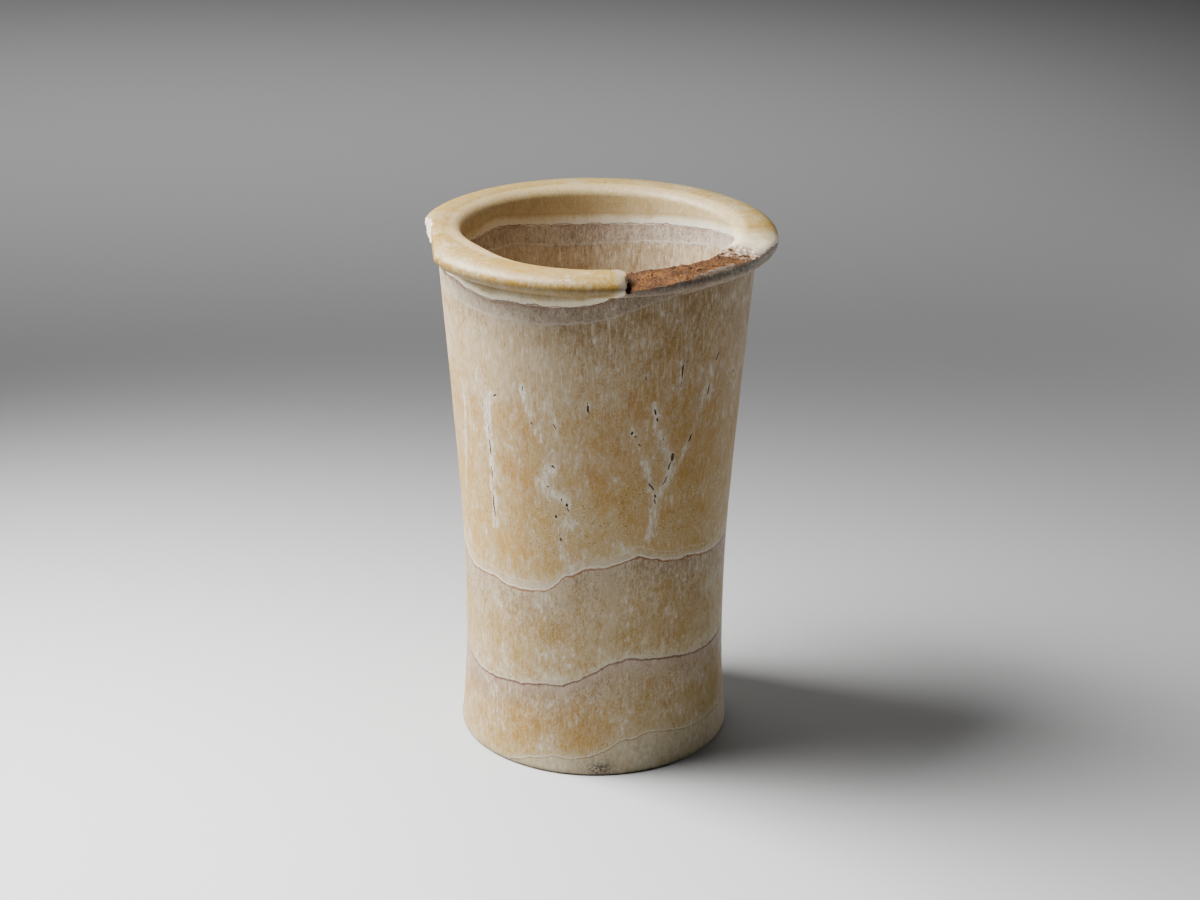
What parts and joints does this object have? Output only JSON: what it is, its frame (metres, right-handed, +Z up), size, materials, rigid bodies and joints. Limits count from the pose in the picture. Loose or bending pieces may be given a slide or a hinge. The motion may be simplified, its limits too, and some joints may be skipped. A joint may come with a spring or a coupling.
{
  "type": "alabaster vase",
  "caption": "Tall hollow stone vase that flares from a narrow waist to a rolled rim; part of the rim is broken away and its surface shows wavy layers.",
  "frame": {"origin": "centre of the flat underside, on the axis the vase was turned about", "axes": "+Z up the vase's axis towards the mouth; -Y towards the side whose right-hand rim is broken; +X to the right seen from there"},
  "size_m": [0.2334, 0.2384, 0.36],
  "materials": {
    "banded_stone": "polished to a soft sheen and worn, honey to cream with wavy darker layers, granular where broken"
  },
  "bodies": {
    "root": {"vase": "banded_stone"}
  },
  "joints": []
}
